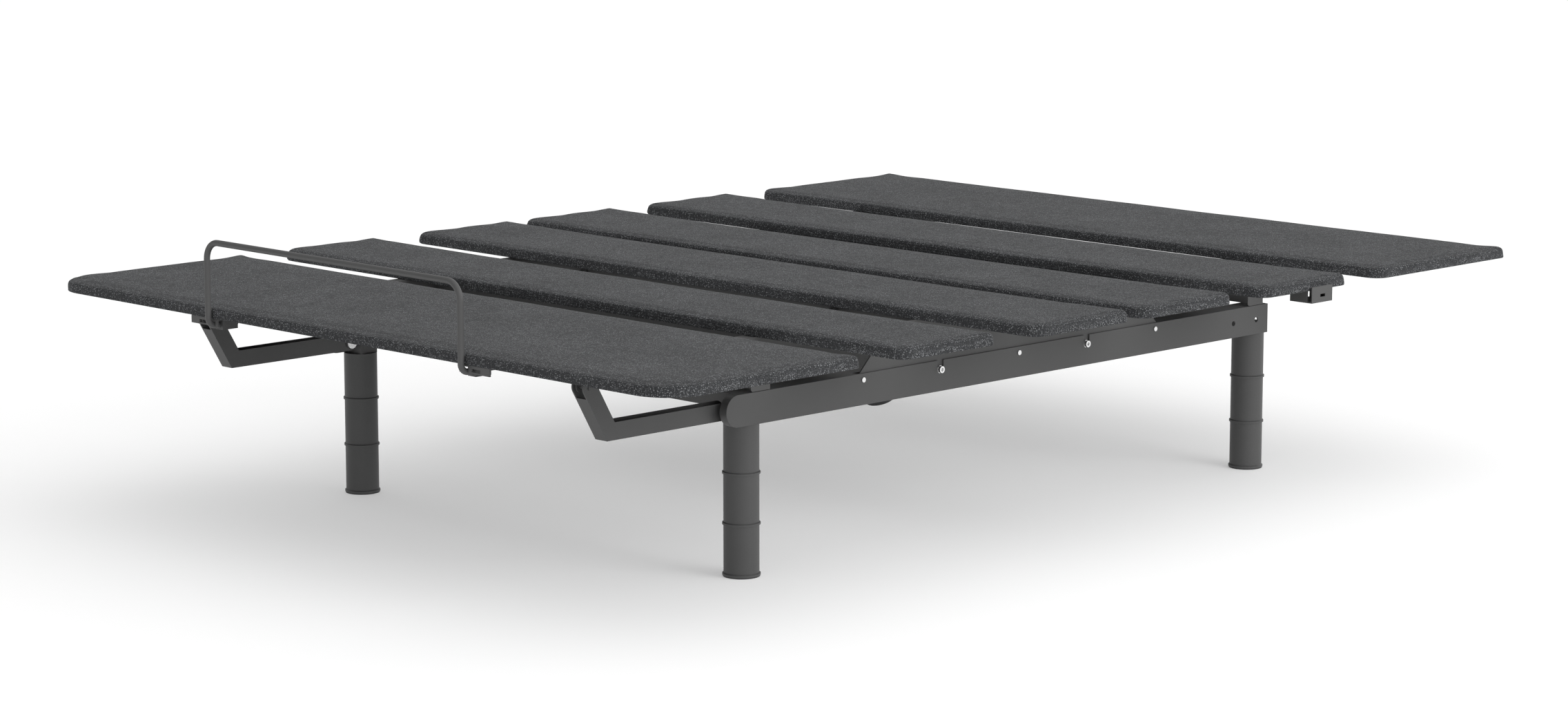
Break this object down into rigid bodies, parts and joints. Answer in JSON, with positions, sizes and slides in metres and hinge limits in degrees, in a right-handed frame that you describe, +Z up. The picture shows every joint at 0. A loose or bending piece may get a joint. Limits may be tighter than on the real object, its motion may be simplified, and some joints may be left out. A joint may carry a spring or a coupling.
{
  "type": "adjustable bed base",
  "caption": "Adjustable bed base: steel frame on four tube legs with hinged upholstered deck sections, a mattress retainer bar and folding head and foot ends.",
  "frame": {"origin": "on the floor under the middle of the whole object's box", "axes": "+X to the right seen from the foot end, +Y from the foot end to the head end, +Z up"},
  "size_m": [1.498, 2.024, 0.49],
  "materials": {
    "powder_coat": "satin charcoal powder coat",
    "deck_cloth": "dark charcoal tweed with pale flecks",
    "board_wood": "plain plywood",
    "bright_zinc": "zinc plated",
    "black_plastic": "matt moulded plastic",
    "polished_steel": "polished rod"
  },
  "bodies": {
    "frame": {"side_rail_left": "powder_coat", "side_rail_right": "powder_coat", "seat_side_plate_left": "powder_coat", "seat_side_plate_right": "powder_coat", "foot_crossbeam": "powder_coat", "head_crossbeam": "powder_coat", "foot_actuator_crossbeam": "powder_coat", "head_actuator_crossbeam": "powder_coat", "seat_bar_foot": "powder_coat", "seat_bar_head": "powder_coat", "thigh_hinge_pins": "bright_zinc", "back_hinge_pins": "bright_zinc", "seat_foot_cover": "deck_cloth", "seat_foot_board": "board_wood", "seat_head_cover": "deck_cloth", "seat_head_board": "board_wood", "rail_rivets": "bright_zinc", "crossbeam_bolts": "bright_zinc", "arm_pivot_bolts": "bright_zinc", "actuator_rear_pins": "bright_zinc", "leg_foot_left": "powder_coat", "leg_foot_right": "powder_coat", "leg_head_left": "powder_coat", "leg_head_right": "powder_coat", "leg_mount_blocks": "powder_coat", "leg_studs": "bright_zinc", "leg_glides": "black_plastic", "electronics_tray": "powder_coat", "control_box": "black_plastic", "power_supply": "black_plastic"},
    "thigh": {"thigh_cover": "deck_cloth", "thigh_board": "board_wood", "thigh_frame": "powder_coat", "thigh_rest_brackets": "powder_coat", "knee_hinge_pins": "bright_zinc"},
    "calf": {"calf_cover": "deck_cloth", "calf_board": "board_wood", "calf_frame": "powder_coat", "arm_slot_brackets": "powder_coat", "retainer_bar": "powder_coat", "retainer_brackets": "powder_coat"},
    "left_arm": {"support_arm_left": "powder_coat"},
    "right_arm": {"support_arm_right": "powder_coat"},
    "back": {"back_cover": "deck_cloth", "back_board": "board_wood", "back_frame": "powder_coat", "back_side_brackets": "powder_coat", "pillow_hinge_pins": "bright_zinc", "pillow_actuator_pin": "bright_zinc"},
    "pillow": {"pillow_cover": "deck_cloth", "pillow_board": "board_wood", "pillow_frame": "powder_coat", "pillow_rest_brackets": "powder_coat"},
    "head_actuator_body": {"head_actuator": "black_plastic"},
    "head_rod": {"head_actuator_rod": "polished_steel"},
    "foot_actuator_body": {"foot_actuator": "black_plastic"},
    "foot_rod": {"foot_actuator_rod": "polished_steel"},
    "pillow_actuator_body": {"pillow_actuator": "black_plastic"},
    "pillow_rod": {"pillow_actuator_rod": "polished_steel"}
  },
  "joints": [
    {"name": "back_lift", "type": "hinge", "parent": "frame", "child": "back", "pos_m": [0, 0.27, 0.353], "axis": [1, 0, 0], "range_deg": [0, 60]},
    {"name": "pillow_tilt", "type": "hinge", "parent": "back", "child": "pillow", "pos_m": [0, 0.5565, 0.353], "axis": [1, 0, 0], "range_deg": [0, 30]},
    {"name": "thigh_lift", "type": "hinge", "parent": "frame", "child": "thigh", "pos_m": [0, -0.3045, 0.367], "axis": [-1, 0, 0], "range_deg": [0, 30]},
    {"name": "calf_fold", "type": "hinge", "parent": "thigh", "child": "calf", "pos_m": [0, -0.603, 0.353], "axis": [1, 0, 0], "range_deg": [0, 40.81]},
    {"name": "left_arm_swing", "type": "hinge", "parent": "frame", "child": "left_arm", "pos_m": [-0.453, -0.614, 0.262], "axis": [-1, 0, 0], "range_deg": [0, 21.46]},
    {"name": "right_arm_swing", "type": "hinge", "parent": "frame", "child": "right_arm", "pos_m": [0.453, -0.614, 0.262], "axis": [-1, 0, 0], "range_deg": [0, 21.46]},
    {"name": "head_actuator_swing", "type": "hinge", "parent": "frame", "child": "head_actuator_body", "pos_m": [0, 0.135, 0.15], "axis": [1, 0, 0], "range_deg": [0, 25.6]},
    {"name": "head_actuator_extend", "type": "slide", "parent": "head_actuator_body", "child": "head_rod", "axis": [0, 0.9449, 0.3274], "range_m": [0, 0.1061]},
    {"name": "foot_actuator_swing", "type": "hinge", "parent": "frame", "child": "foot_actuator_body", "pos_m": [0, -0.117, 0.2], "axis": [-1, 0, 0], "range_deg": [0, 11.6]},
    {"name": "foot_actuator_extend", "type": "slide", "parent": "foot_actuator_body", "child": "foot_rod", "axis": [0, -0.9884, 0.1521], "range_m": [0, 0.0604]},
    {"name": "pillow_actuator_swing", "type": "hinge", "parent": "back", "child": "pillow_actuator_body", "pos_m": [0.15, 0.338, 0.304], "axis": [1, 0, 0], "range_deg": [0, 6.1]},
    {"name": "pillow_actuator_extend", "type": "slide", "parent": "pillow_actuator_body", "child": "pillow_rod", "axis": [0, 1, 0], "range_m": [0, 0.02]}
  ],
  "couplings": [
    {"joint": "calf_fold", "follows": "thigh_lift", "ratio": 1.36},
    {"joint": "left_arm_swing", "follows": "thigh_lift", "ratio": 0.715},
    {"joint": "right_arm_swing", "follows": "thigh_lift", "ratio": 0.715},
    {"joint": "foot_actuator_swing", "follows": "thigh_lift", "ratio": 0.3823},
    {"joint": "foot_actuator_extend", "follows": "thigh_lift", "m_per_rad": 0.11501},
    {"joint": "head_actuator_swing", "follows": "back_lift", "ratio": 0.4245},
    {"joint": "head_actuator_extend", "follows": "back_lift", "m_per_rad": 0.1012},
    {"joint": "pillow_actuator_swing", "follows": "pillow_tilt", "ratio": 0.2003},
    {"joint": "pillow_actuator_extend", "follows": "pillow_tilt", "m_per_rad": 0.03788}
  ]
}
